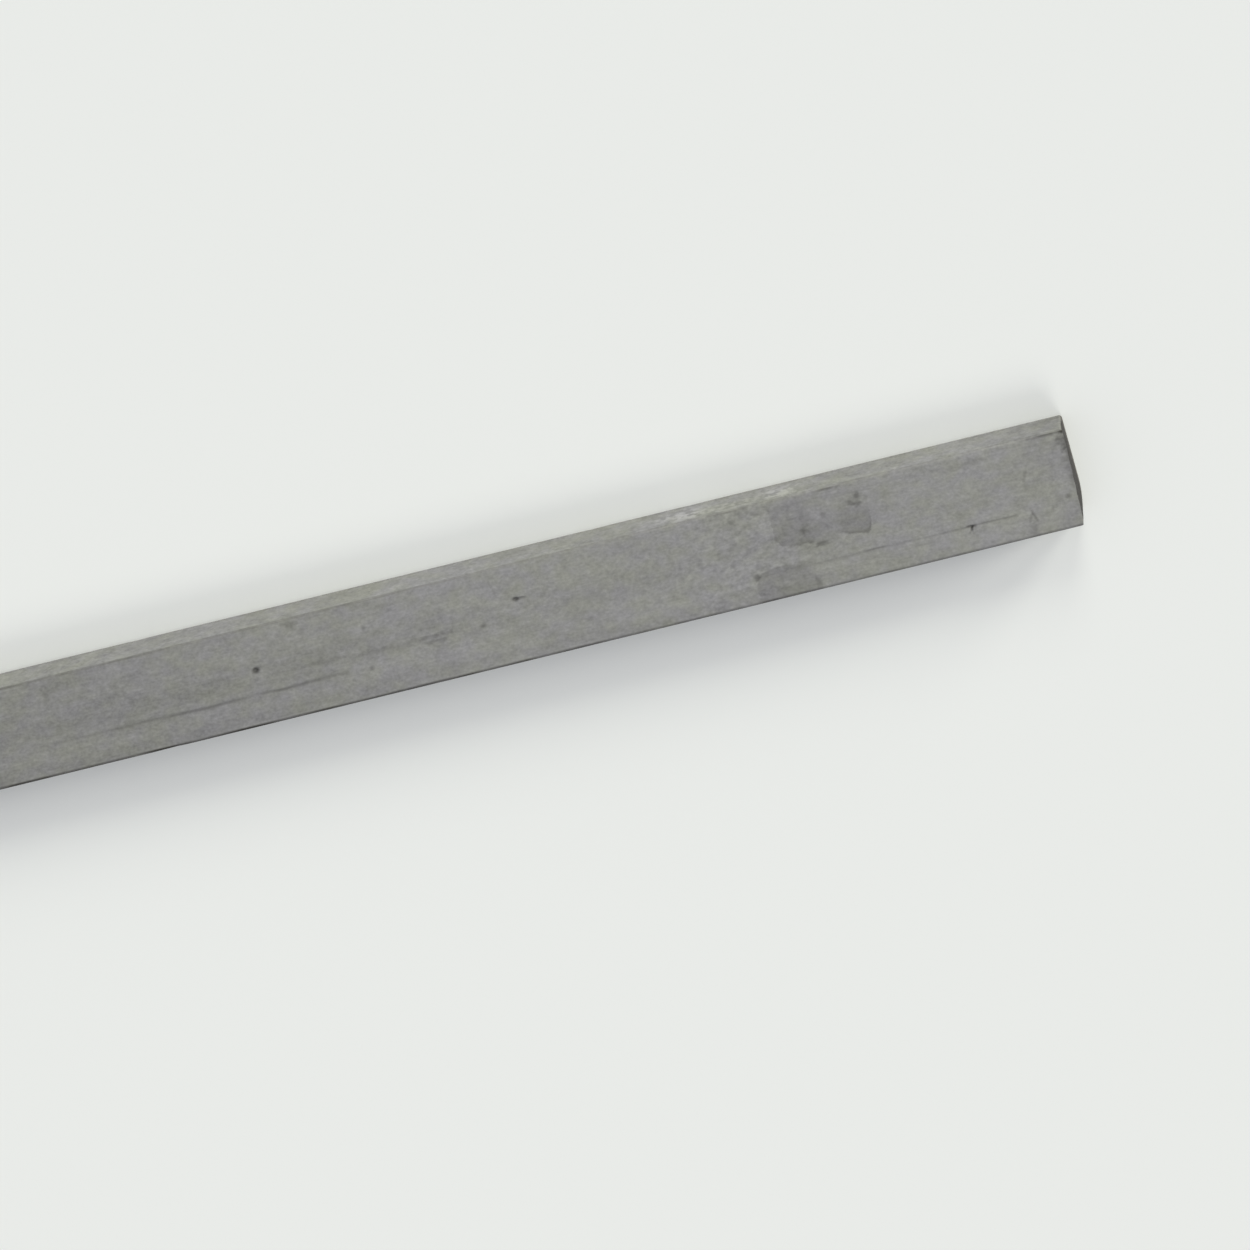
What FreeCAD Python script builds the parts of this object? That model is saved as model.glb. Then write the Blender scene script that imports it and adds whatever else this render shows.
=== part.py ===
"""A flat busbar of tin-plated copper: one drawn bar, sawn square at one end and sheared at the other.

The bar lies on its wide face along X, with its underside on z = 0 and the middle of its length
and width at the origin. The near side is the narrow side at +Y, the far side the one at -Y.
"""

import FreeCAD
import Part
import Sketcher
import os

V = FreeCAD.Vector

# Every size is in millimetres.
SIZES = {
    # the drawn section, and the rounding of its edges and of the edge that the blade rolled over
    "bar_width": 30.0,
    "bar_thickness": 10.0,
    "edge_radius": 0.8,
    # from the sawn end to the tip of the sheared end, as cut
    "bar_length": 1000.0,
    # the edges broken around the sawn end
    "saw_chamfer": 0.3,
    # the shear cut's line on the underside: straight from the near side, then an arc round the tip
    "near_set_back": 0.8,
    "tip_from_far_side": 9.0,
    "tip_radius": 41.0,
    # how far the cut leans back over the bar's thickness
    "shear_lean": 0.95,
    # the break above the cut: it starts at this height and ends this far behind the tip
    "break_height": 3.4,
    "break_set_back": 1.6,
    # how far the cutting shapes reach past the bar
    "overrun": 2.0,
}

# a sketch's origin among its edges, and the three points that an edge can have
ORIGIN = -1
START, END, CENTRE = 1, 2, 3

# two faces or edges closer than this touch
TOUCHING = 1e-6


def make_sheet(doc):
    """The driving sizes, one row each: name, value."""
    sheet = doc.addObject("Spreadsheet::Sheet", "sizes")
    for row, (name, value) in enumerate(SIZES.items(), start=1):
        sheet.set(f"A{row}", name)
        sheet.set(f"B{row}", str(value))
        sheet.setAlias(f"B{row}", name)
    doc.recompute()
    return sheet


def origin_plane(body, role):
    """One of the body's own three planes, by its role."""
    return next(plane for plane in body.Origin.OriginFeatures if plane.Role == role)


def new_sketch(body, name, role):
    """An empty sketch on one of the body's own planes."""
    sketch = body.newObject("Sketcher::SketchObject", name)
    sketch.AttachmentSupport = (origin_plane(body, role), [""])
    sketch.MapMode = "FlatFace"
    return sketch


def closed_outline(sketch, points):
    """Straight edges through the points, in order, each tied to the next; returns their indices."""
    edges = [
        sketch.addGeometry(Part.LineSegment(a, b)) for a, b in zip(points, points[1:] + points[:1])
    ]
    for edge, following in zip(edges, edges[1:] + edges[:1]):
        sketch.addConstraint(Sketcher.Constraint("Coincident", edge, END, following, START))
    return edges


def place(sketch, kind, geometry, point, name, expression):
    """Sets a point's x (DistanceX) or y (DistanceY) from the sketch's origin by an expression."""
    value = sketch.evalExpression(expression)
    value = float(getattr(value, "Value", value))
    index = sketch.addConstraint(Sketcher.Constraint(kind, ORIGIN, START, geometry, point, value))
    sketch.renameConstraint(index, name)
    sketch.setExpression(f"Constraints.{name}", expression)


def section_sketch(body):
    """The bar's rectangle in the YZ plane, standing on the underside and centred on its width."""
    sketch = new_sketch(body, "section", "YZ_Plane")
    half = SIZES["bar_width"] / 2
    top = SIZES["bar_thickness"]
    corners = [V(-half, 0, 0), V(half, 0, 0), V(half, top, 0), V(-half, top, 0)]
    edges = closed_outline(sketch, corners)
    for edge, way in zip(edges, ("Horizontal", "Vertical") * 2):
        sketch.addConstraint(Sketcher.Constraint(way, edge))
    under, near, upper, _ = edges
    sketch.addConstraint(Sketcher.Constraint("PointOnObject", under, START, ORIGIN))
    place(sketch, "DistanceX", near, START, "half_width", "sizes.bar_width / 2")
    place(sketch, "DistanceY", near, END, "thickness", "sizes.bar_thickness")
    place(sketch, "DistanceX", upper, END, "other_half_width", "-sizes.bar_width / 2")
    return sketch


def drawn_bar(body):
    """The full length of drawn bar, with square edges as yet."""
    pad = body.newObject("PartDesign::Pad", "drawn_length")
    pad.Profile = section_sketch(body)
    pad.setExpression("Length", "sizes.bar_length")
    pad.Midplane = True
    body.Document.recompute()
    return pad


def cut(body, feature):
    """Recomputes and stops if a cutting feature took nothing off."""
    before = feature.BaseFeature.Shape.Volume
    body.Document.recompute()
    if not feature.Shape.Volume < before:
        raise RuntimeError(f"{feature.Name} took nothing off")


def shear_line_sketch(body):
    """What the shear takes off, as seen from above: straight from the near side, then round the tip.

    The sketch lies below the bar by the overrun, so its tip stands out by the lean down to there.
    """
    sketch = new_sketch(body, "shear_line", "XY_Plane")
    sketch.setExpression("AttachmentOffset.Base.z", "-sizes.overrun")
    half = SIZES["bar_width"] / 2
    out = SIZES["overrun"]
    radius = SIZES["tip_radius"]
    tip_x = SIZES["bar_length"] / 2 + SIZES["shear_lean"] * out / SIZES["bar_thickness"]
    centre = V(tip_x - radius, SIZES["tip_from_far_side"] - half, 0)
    near_point = V(tip_x - SIZES["near_set_back"], half + out, 0)
    # where the straight line touches the arc, and where the arc leaves the bar
    to_near = near_point - centre
    share = (radius / to_near.Length) ** 2
    side = V(to_near.y, -to_near.x, 0) * (share - share**2) ** 0.5
    touch = centre + to_near * share + side
    far_y = -half - out
    arc_end = V(centre.x + (radius**2 - (far_y - centre.y) ** 2) ** 0.5, far_y, 0)
    far_corner = V(tip_x + out, far_y, 0)
    near_corner = V(tip_x + out, half + out, 0)
    near_line = sketch.addGeometry(Part.LineSegment(near_corner, near_point))
    cut_line = sketch.addGeometry(Part.LineSegment(near_point, touch))
    arc = sketch.addGeometry(Part.Arc(arc_end, V(tip_x, centre.y, 0), touch))
    far_line = sketch.addGeometry(Part.LineSegment(arc_end, far_corner))
    outer_line = sketch.addGeometry(Part.LineSegment(far_corner, near_corner))
    for first, first_end, second, second_end in (
        (near_line, END, cut_line, START),
        (arc, START, far_line, START),
        (far_line, END, outer_line, START),
        (outer_line, END, near_line, START),
    ):
        sketch.addConstraint(Sketcher.Constraint("Coincident", first, first_end, second, second_end))
    sketch.addConstraint(Sketcher.Constraint("Tangent", cut_line, END, arc, END))
    sketch.addConstraint(Sketcher.Constraint("Horizontal", near_line))
    sketch.addConstraint(Sketcher.Constraint("Horizontal", far_line))
    sketch.addConstraint(Sketcher.Constraint("Vertical", outer_line))
    size = sketch.addConstraint(Sketcher.Constraint("Radius", arc, radius))
    sketch.renameConstraint(size, "tip_radius")
    sketch.setExpression("Constraints.tip_radius", "sizes.tip_radius")
    tip = "sizes.bar_length / 2 + sizes.shear_lean * sizes.overrun / sizes.bar_thickness"
    place(sketch, "DistanceX", arc, CENTRE, "tip_x", f"{tip} - sizes.tip_radius")
    place(sketch, "DistanceY", arc, CENTRE, "tip_y", "sizes.tip_from_far_side - sizes.bar_width / 2")
    place(sketch, "DistanceX", cut_line, START, "near_x", f"{tip} - sizes.near_set_back")
    place(sketch, "DistanceY", cut_line, START, "near_y", "sizes.bar_width / 2 + sizes.overrun")
    place(sketch, "DistanceX", far_line, END, "outer_x", f"{tip} + sizes.overrun")
    place(sketch, "DistanceY", far_line, END, "far_y", "-sizes.bar_width / 2 - sizes.overrun")
    return sketch


def sheared_end(body):
    """Cuts the bar along the shear line, leaning back towards the top."""
    shear = body.newObject("PartDesign::Pocket", "shear_cut")
    shear.Profile = shear_line_sketch(body)
    shear.setExpression("Length", "sizes.bar_thickness + 2 * sizes.overrun")
    shear.UseCustomVector = True
    shear.AlongSketchNormal = True
    shear.Direction = V(-SIZES["shear_lean"] / SIZES["bar_thickness"], 0, 1)
    shear.setExpression("Direction.x", "-sizes.shear_lean / sizes.bar_thickness")
    cut(body, shear)
    return shear


def rounded_edges(body, feature):
    """Rounds the long edges and the sheared end's edges, but not those of the sawn end.

    The sheared end's upper edge stays sharp too, because the metal broke there.
    """
    names = []
    for number, edge in enumerate(feature.Shape.Edges, start=1):
        box = edge.BoundBox
        at_sawn_end = box.XMax + SIZES["bar_length"] / 2 < TOUCHING
        at_break = box.XMin > 0 and SIZES["bar_thickness"] - box.ZMin < TOUCHING
        if not (at_sawn_end or at_break):
            names.append(f"Edge{number}")
    rounding = body.newObject("PartDesign::Fillet", "rounded_edges")
    rounding.Base = (feature, names)
    rounding.setExpression("Radius", "sizes.edge_radius")
    body.Document.recompute()
    return rounding


def break_sketch(body):
    """The break's slope in the XZ plane, run on below and above the bar."""
    sketch = new_sketch(body, "break_slope", "XZ_Plane")
    tip = "sizes.bar_length / 2"
    foot = "sizes.shear_lean * sizes.break_height / sizes.bar_thickness"
    slope = f"(sizes.break_set_back - {foot}) / (sizes.bar_thickness - sizes.break_height)"
    top_x = f"{tip} - sizes.break_set_back - {slope} * sizes.overrun"
    under_x = f"{tip} - sizes.break_set_back + {slope} * (sizes.bar_thickness + sizes.overrun)"
    out = SIZES["overrun"]
    tip_x = SIZES["bar_length"] / 2
    top_z = SIZES["bar_thickness"] + out
    points = [
        V(tip_x, -out, 0),
        V(tip_x + 2 * out, -out, 0),
        V(tip_x + 2 * out, top_z, 0),
        V(tip_x - out, top_z, 0),
    ]
    under, outer, top, _ = closed_outline(sketch, points)
    sketch.addConstraint(Sketcher.Constraint("Horizontal", under))
    sketch.addConstraint(Sketcher.Constraint("Vertical", outer))
    sketch.addConstraint(Sketcher.Constraint("Horizontal", top))
    place(sketch, "DistanceX", under, START, "under_x", under_x)
    place(sketch, "DistanceY", under, START, "under_z", "-sizes.overrun")
    place(sketch, "DistanceX", outer, START, "outer_x", f"{under_x} + sizes.overrun")
    place(sketch, "DistanceY", top, START, "top_z", "sizes.bar_thickness + sizes.overrun")
    place(sketch, "DistanceX", top, END, "top_x", top_x)
    return sketch


def broken_face(body):
    """Takes the upper part of the cut off at the slope where the metal broke."""
    pocket = body.newObject("PartDesign::Pocket", "break_cut")
    pocket.Profile = break_sketch(body)
    pocket.Midplane = True
    pocket.setExpression("Length", "sizes.bar_width + 2 * sizes.overrun")
    cut(body, pocket)
    return pocket


def sawn_end(body, feature):
    """Breaks the edges around the square end at -X."""
    end_x = -SIZES["bar_length"] / 2
    names = [
        f"Edge{number}"
        for number, edge in enumerate(feature.Shape.Edges, start=1)
        if abs(edge.BoundBox.XMax - end_x) < TOUCHING
    ]
    chamfer = body.newObject("PartDesign::Chamfer", "broken_edges")
    chamfer.Base = (feature, names)
    chamfer.setExpression("Size", "sizes.saw_chamfer")
    body.Document.recompute()
    return chamfer


def busbar(doc):
    """The whole bar, which is one piece."""
    body = doc.addObject("PartDesign::Body", "busbar_body")
    body.Label = "busbar"
    drawn_bar(body)
    rounded_edges(body, sheared_end(body))
    sawn_end(body, broken_face(body))
    return body


def check(doc, bodies):
    """Stops if an object failed or a shape isn't one sound solid."""
    for item in doc.Objects:
        if "Invalid" in item.State or "Error" in item.State:
            raise RuntimeError(f"{item.Name} failed: {item.State}")
    for body in bodies:
        shape = body.Shape
        if shape.isNull() or not shape.isValid() or len(shape.Solids) != 1:
            raise RuntimeError(f"{body.Label} isn't one sound solid")


def main():
    doc = FreeCAD.newDocument("busbar")
    make_sheet(doc)
    bodies = [busbar(doc)]
    doc.recompute()
    check(doc, bodies)
    os.makedirs("parts", exist_ok=True)
    for body in bodies:
        body.Shape.exportStep(f"parts/{body.Label}.step")
        box = body.Shape.optimalBoundingBox()
        print(body.Label, "volume", round(body.Shape.Volume, 1), "faces", len(body.Shape.Faces))
        print("x", box.XMin, box.XMax, "y", box.YMin, box.YMax, "z", box.ZMin, box.ZMax)


main()
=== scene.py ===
"""A tinned copper busbar on a pale floor: one drawn flat bar, sheared at one end and sawn at the other."""

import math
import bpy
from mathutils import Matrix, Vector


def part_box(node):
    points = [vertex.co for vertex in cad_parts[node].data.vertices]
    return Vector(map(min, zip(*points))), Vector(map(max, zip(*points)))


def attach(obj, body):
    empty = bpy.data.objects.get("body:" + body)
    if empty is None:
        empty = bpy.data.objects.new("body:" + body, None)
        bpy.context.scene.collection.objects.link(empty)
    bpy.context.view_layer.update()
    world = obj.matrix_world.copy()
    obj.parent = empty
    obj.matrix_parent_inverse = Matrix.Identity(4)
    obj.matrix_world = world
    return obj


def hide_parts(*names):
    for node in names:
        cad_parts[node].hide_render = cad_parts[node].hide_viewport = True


bl_info = {
    "name": "Tinned Busbar",
    "version": (1, 0, 0),
    "blender": (4, 5, 0),
    "location": "View3D > Sidebar > Busbar",
    "description": "Makes a tinned copper busbar with one sheared end, and the stage it lies on",
    "category": "Object",
}

from types import SimpleNamespace

import bpy
import numpy as np
from mathutils import Matrix

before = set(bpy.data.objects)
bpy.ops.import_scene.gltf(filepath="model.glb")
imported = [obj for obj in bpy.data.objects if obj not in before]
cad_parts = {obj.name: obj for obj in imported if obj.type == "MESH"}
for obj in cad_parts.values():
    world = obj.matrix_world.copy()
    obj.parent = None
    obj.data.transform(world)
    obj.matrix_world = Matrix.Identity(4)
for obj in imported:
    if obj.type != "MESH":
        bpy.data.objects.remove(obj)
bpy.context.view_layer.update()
BAR_LOW, BAR_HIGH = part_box("busbar")
MM = 0.001

# How finely the skin is divided: points across the faces and round an edge, rings along the walls, and
# rings in the middle of each end. Below them, how many dents the long edges have.
UPPER_POINTS = 86
UNDER_POINTS = 30
SIDE_POINTS = 15
EDGE_POINTS = 6
WALL_RINGS = 400
SAWN_RINGS = 5
SHEARED_RINGS = 30
EDGE_DENTS = 26

# The photo's point of view: which ways are right, up and towards the camera, and the picture's middle.
VIEW_RIGHT = (0.9715, -0.2134, 0.1036)
VIEW_UP = (0.2372, 0.8739, -0.4244)
VIEW_BACK = (0.0, 0.4368, 0.8996)
VIEW_MIDDLE = (0.3699, -0.01085, 0.010)

# Lamps, in degrees: azimuth from +X towards +Y, elevation, and how wide the lamp looks.
LAMPS = {
    "low_lamp": (80.0, 20.0, 20.0),
    "wide_lamp": (44.0, 13.0, 18.0),
    "end_lamp": (17.0, 12.0, 18.0),
    "back_lamp": (-80.0, 38.0, 30.0),
}

# Where along the bar its looks change, in metres: start and end of each change. For the speckled part, along
# the bar, and the two darker bands, across it: start, full from, full to and end.
# The first change is painted light: the wide faces grow lighter towards the sheared end.
TONE_CHANGE = (0.185, 0.36)
SIDE_TONE_CHANGE = (0.28, 0.32)
SIDE_END_CHANGE = (0.468, 0.488)
BAND_CHANGE = (0.39, 0.47)
# The dark lines along the long edges are partly painted shade and partly dirt, and grow fainter towards the
# sheared end.
EDGE_SHADE_AND_DIRT_CHANGE = (0.20, 0.48)
# The last change is painted shade: the tin darkens over the last few millimetres before the sheared end.
SHADED_END = (0.4962, 0.4996)
SPECKLED_PART = (0.375, 0.400, 0.415, 0.430)
MIDDLE_BAND = (-5.0 * MM, -1.0 * MM, 2.5 * MM, 6.0 * MM)
FAR_BAND = (-16.5 * MM, -12.4 * MM, -11.8 * MM, -8.5 * MM)

# Fields of blotches: length and width in millimetres, detail and seed.
FIELDS = {
    "broad": (30.0, 18.0, 1.0, 3.1),
    "blotch": (7.0, 4.5, 2.0, 7.7),
    "speck": (1.9, 1.5, 1.5, 12.3),
    "fine": (0.85, 0.75, 1.0, 20.9),
    "drawn": (170.0, 0.9, 2.0, 31.4),
    "short drawn": (12.0, 0.55, 1.0, 44.8),
    "broad tint": (22.0, 14.0, 1.0, 57.2),
    "small tint": (6.0, 5.0, 1.0, 63.9),
}
# How much each field changes the tin's brightness, and how much it raises the skin.
BRIGHTNESS = {
    "broad": 0.045, "blotch": 0.092, "speck": 0.108, "fine": 0.088, "drawn": 0.026, "short drawn": 0.026,
}
RELIEF = {"blotch": 0.25, "speck": 0.30, "fine": 0.18, "drawn": 0.20, "short drawn": 0.10}

# Marks on the upper face, in millimetres and degrees: where along and across the bar, half length, half
# width, turn, how soft and how ragged the edge is, and how dark it is. The pits are also dents.
PITS = {
    "round pit": (268.9, 2.1, 0.90, 0.82, 0, 0.8, 0.25, 0.94),
    "long pit": (342.3, 4.3, 0.85, 0.66, 0, 0.8, 0.30, 0.72),
    "tail of the long pit": (343.7, 4.4, 1.30, 0.40, 0, 1.0, 0.30, 0.42),
    "bar of the corner nick": (468.0, -7.0, 1.20, 0.44, -4, 0.8, 0.40, 0.56),
    "leg of the corner nick": (468.0, -7.9, 0.36, 0.95, -30, 0.8, 0.40, 0.50),
    "pit in the hidden part": (-121.0, 5.6, 0.70, 0.60, 0, 0.8, 0.30, 0.80),
    "second pit in the hidden part": (-338.5, -8.2, 0.55, 0.50, 0, 0.8, 0.30, 0.70),
}
SMUDGES = {
    "first smudge": (212.0, 9.5, 1.4, 1.2, 0, 1.0, 0.8, 0.20),
    "dot under it": (210.7, -7.0, 0.6, 0.6, 0, 1.0, 0.5, 0.18),
    "tick by the far edge": (267.8, -12.5, 0.50, 1.05, 0, 1.0, 0.5, 0.22),
    "smudge past the round pit": (281.1, 12.9, 1.5, 0.75, 0, 1.0, 0.7, 0.28),
    "dot over the end of the line": (300.3, 7.1, 0.60, 0.75, 0, 1.0, 0.4, 0.30),
    "dot at the end of the line": (299.9, -5.6, 0.70, 0.62, 0, 1.0, 0.4, 0.38),
    "soft smudge": (326.8, 11.7, 1.2, 1.0, 0, 1.0, 0.8, 0.18),
    "dot past the streak": (332.3, -1.0, 0.75, 0.65, 0, 1.0, 0.5, 0.30),
    "haze under that dot": (330.7, -2.3, 1.9, 1.2, 0, 1.0, 0.9, 0.12),
    "dark speck in the corner": (404.4, 11.4, 0.70, 0.60, 0, 1.0, 0.5, 0.22),
    "speck in the speckled part": (410.9, 12.4, 0.60, 0.75, 0, 1.0, 0.5, 0.32),
    "second speck there": (402.4, -1.6, 0.60, 0.65, 0, 1.0, 0.5, 0.26),
    "dark dot": (408.0, -6.6, 0.90, 0.80, 0, 0.8, 0.4, 0.48),
    "dot in the first patch": (423.2, 3.7, 0.80, 0.90, 0, 1.0, 0.5, 0.32),
    "speck between the patches": (429.3, 7.1, 0.75, 1.05, 0, 1.0, 0.7, 0.24),
    "dark bits": (427.4, -1.3, 2.2, 0.60, 0, 1.0, 1.0, 0.34),
    "first of three specks": (437.6, 8.7, 0.95, 0.90, 25, 1.0, 0.6, 0.38),
    "second of three specks": (439.5, 10.4, 0.70, 1.10, 0, 1.0, 0.6, 0.38),
    "third of three specks": (439.3, 7.9, 0.85, 0.75, 0, 1.0, 0.6, 0.36),
    "corner of the far patch": (424.2, -12.6, 0.70, 1.50, 0, 1.0, 0.5, 0.28),
    "slanting mark": (485.3, 3.9, 0.42, 1.60, -20, 1.0, 0.6, 0.26),
    "right leg of the fork": (485.7, -8.5, 0.38, 2.00, 18, 1.0, 0.5, 0.36),
    "left leg of the fork": (484.5, -8.8, 0.38, 1.45, -22, 1.0, 0.5, 0.30),
    "foot of the fork": (485.0, -12.5, 0.85, 1.90, 0, 1.0, 0.7, 0.20),
    "dot by the sheared end": (496.0, -4.8, 0.80, 0.65, 0, 1.0, 0.5, 0.40),
    "haze beside that dot": (493.8, -5.2, 1.40, 0.90, 0, 1.0, 0.8, 0.12),
    "haze near the end": (493.2, 5.6, 0.70, 1.50, 0, 1.0, 0.8, 0.14),
    "stain on the sheared corner": (499.0, 11.8, 2.0, 3.2, 12, 1.0, 0.9, 0.50),
    "haze inside the stain": (495.7, 10.9, 1.4, 1.4, 0, 1.0, 1.0, 0.14),
    "stain along the end": (498.9, 5.0, 1.5, 5.5, 0, 1.0, 0.9, 0.34),
    "smudge in the hidden part": (-52.0, -3.0, 4.0, 2.2, 20, 1.0, 0.9, 0.18),
    "second smudge in the hidden part": (-265.0, 8.0, 3.0, 1.5, 0, 1.0, 0.9, 0.20),
    "third smudge in the hidden part": (118.0, 3.2, 1.0, 0.9, 0, 1.0, 0.6, 0.30),
}
STREAKS = {
    "upper dark streak": (318.1, -0.5, 4.3, 0.52, 0, 1.0, 0.9, 0.30),
    "lower dark streak": (318.9, -2.2, 2.3, 0.56, 0, 1.0, 0.9, 0.28),
    "faint streak before it": (304.2, -0.9, 5.2, 0.50, 0, 1.0, 0.9, 0.14),
    "faint long streak": (287.8, -0.3, 13.6, 0.44, 0, 1.0, 0.9, 0.14),
    "short streak by the round pit": (257.4, 1.6, 3.6, 0.44, 0, 1.0, 0.9, 0.11),
    "brown streak": (469.5, 11.8, 6.2, 1.05, 0, 1.0, 0.8, 0.17),
    "faint far streak": (360.2, -6.6, 2.2, 0.40, 0, 1.0, 0.8, 0.12),
    "thin scratch": (336.8, 9.5, 0.30, 3.0, 14, 1.0, 0.4, 0.11),
    "corner dirt by the end": (494.0, 14.6, 4.9, 0.42, 0, 1.0, 0.4, 0.50),
    "corner dirt by a patch": (431.7, 14.6, 3.0, 0.38, 0, 1.0, 0.4, 0.40),
    "corner dirt past mid": (404.4, 14.7, 4.4, 0.36, 0, 1.0, 0.5, 0.22),
    "streak in the hidden part": (-160.0, 2.0, 22.0, 0.50, 0, 1.0, 0.9, 0.18),
}
# Darker patches where something lay on the tin: where along and across the bar, half length, half width,
# slope of the edge that runs along the bar, which end is sharp (-1 or 1), how much is left on the faded
# side, and how dark it is. The far side is the sharp one, and with a half width below 0 the near side is.
PATCHES = {
    "first patch": (420.8, 8.0, 5.8, 8.0, -0.04, -1, 0.60, 0.19),
    "second patch": (437.0, 7.6, 5.1, 8.2, -0.25, 1, 0.20, 0.19),
    "patch by the far edge": (416.2, -12.3, 8.8, -7.3, 0.0, -1, 0.90, 0.21),
    "between the patches": (428.0, 6.2, 5.0, 7.2, 0.0, -1, 0.60, 0.09),
    "patch in the hidden part": (-205.0, 6.0, 9.0, 7.5, 0.10, 1, 0.40, 0.13),
}
# Lines left by the drawing die on the upper face, in millimetres: where across the bar, start, end, half
# width, length of the fade at each end, and how dark.
DIE_LINES = {
    "left line": (-5.30, 204.0, 297.5, 0.60, 8.0, 0.19),
    "dark stretch of the left line": (-5.30, 225.5, 294.0, 0.52, 3.0, 0.24),
    "faint line over the far patch": (-6.75, 406.0, 424.0, 0.36, 4.0, 0.12),
    "right line": (-6.85, 421.0, 484.0, 0.36, 6.0, 0.17),
    "first dark stretch of the right line": (-6.85, 437.5, 445.5, 0.36, 2.0, 0.20),
    "second dark stretch of the right line": (-6.85, 458.0, 482.0, 0.36, 3.0, 0.17),
    "line in the hidden part": (-5.30, -420.0, 60.0, 0.34, 90.0, 0.22),
    "second line in the hidden part": (6.20, -330.0, -40.0, 0.30, 60.0, 0.18),
}
# Light rubbed places on the near side, in millimetres: where along the bar, height, half length, half
# height, and how light.
RUBBED = {
    "first rub": (393.0, 5.5, 4.3, 3.1, 0.25),
    "start of the first rub": (386.9, 5.6, 2.6, 2.1, 0.16),
    "second rub": (420.0, 6.1, 5.2, 3.3, 0.21),
    "light stretch round both rubs": (404.0, 6.4, 22.0, 3.2, 0.12),
    "thin rub": (451.2, 8.6, 1.2, 1.0, 0.18),
    "rub in the hidden part": (-210.0, 5.2, 6.8, 2.5, 0.32),
}
# How the die lines wander across the bar: height and length of each wave, in metres.
WANDER = ((0.16 * MM, 11.0 * MM), (0.09 * MM, 4.1 * MM), (0.05 * MM, 1.7 * MM))


def smooth_step(x):
    """0 below 0, 1 above 1, and 3x^2 - 2x^3 between."""
    x = np.clip(x, 0.0, 1.0)
    return x * x * (3 - 2 * x)


def crowded(low, high, count, places):
    """count numbers from low to high that crowd at places, which has rows of place, reach and extra.

    They are even steps of the running total of 1 + the sum of extra * exp(-((x - place) / reach)^2).
    """
    rows = np.array(places)
    fine = np.linspace(low, high, 30001)
    wanted = 1 + (rows[:, 2] * np.exp(-(((fine[:, None] - rows[:, 0]) / rows[:, 1]) ** 2))).sum(1)
    total = np.concatenate([[0.0], np.cumsum(wanted[1:] + wanted[:-1])])
    return np.interp(np.linspace(0, total[-1], count), total, fine)


def rough_field(a, b, size, seed, waves=48):
    """A bumpy field over a and b, from about -1 to 1: the sum of cosines of waves. Their directions and
    phases are drawn by a fixed seed, and their lengths lie from half of size to twice size, longer waves
    being higher."""
    draw = np.random.default_rng(seed)
    turn = draw.uniform(0, 2 * np.pi, waves)
    length = size * 2.0 ** draw.uniform(-1, 1, waves)
    phase = draw.uniform(0, 2 * np.pi, waves)
    height = (length / size) ** 0.7
    k = 2 * np.pi / length
    angle = a[..., None] * (k * np.cos(turn)) + b[..., None] * (k * np.sin(turn)) + phase
    return (height * np.cos(angle)).sum(-1) / np.sqrt((height**2).sum()) * 0.7


def section_loop(shape):
    """The section as a closed loop, anticlockwise seen from +X: y, z and the outward normal at each point.

    Four flats joined by quarter circles of the edge radius; on the upper face the rows crowd at the marks.
    """
    half, top, r = shape.width / 2, shape.thickness, shape.edge_radius
    flat = half - r
    ends = [(-flat, 0.4 * MM, 6.0), (flat, 0.4 * MM, 6.0)]
    marks = [(across * MM, 0.75 * MM, 5.0) for _, across, *_ in PITS.values()]
    marks += [(across * MM, 0.35 * MM, 7.0) for across, *_ in DIE_LINES.values()]
    upper = crowded(-flat, flat, UPPER_POINTS, ends + marks)[::-1]
    under = crowded(-flat, flat, UNDER_POINTS, ends)
    side = crowded(r, top - r, SIDE_POINTS, [(r, 0.3 * MM, 3.0), (top - r, 0.3 * MM, 3.0)])
    turn = np.linspace(0, np.pi / 2, EDGE_POINTS + 2)[1:-1]
    sine, cosine = np.sin(turn), np.cos(turn)
    one, zero = np.ones_like, np.zeros_like
    y = [upper, -flat - r * sine, -half * one(side), -flat - r * cosine,
         under, flat + r * sine, half * one(side), flat + r * cosine]
    z = [top * one(upper), top - r + r * cosine, side[::-1], r - r * sine,
         zero(under), r - r * cosine, side, top - r + r * sine]
    ny = [zero(upper), -sine, -one(side), -cosine, zero(under), sine, one(side), cosine]
    nz = [one(upper), cosine, zero(side), -sine, -one(under), -cosine, zero(side), sine]
    return tuple(np.concatenate(part) for part in (y, z, ny, nz))


def cut_set_back(shape, y):
    """How far the sheared end lies behind its tip, seen from above.

    With y from the tip it is r - sqrt(r^2 - y^2), a circle of the tip radius r that bulges to the tip.
    Towards the near side it is the line that touches the circle and passes through the overrun point.
    """
    tip_y = shape.tip_from_far_side - shape.width / 2
    radius = shape.tip_radius
    along = radius - shape.near_set_back
    across = shape.width / 2 + shape.overrun - tip_y
    touch = math.atan2(across, along) - math.acos(radius / math.hypot(across, along))
    line = radius - (radius - (y - tip_y) * math.sin(touch)) / math.cos(touch)
    circle = radius - np.sqrt(radius**2 - np.minimum(np.abs(y - tip_y), 0.9 * radius) ** 2)
    return np.where(y - tip_y > radius * math.sin(touch), line, circle)


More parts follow.
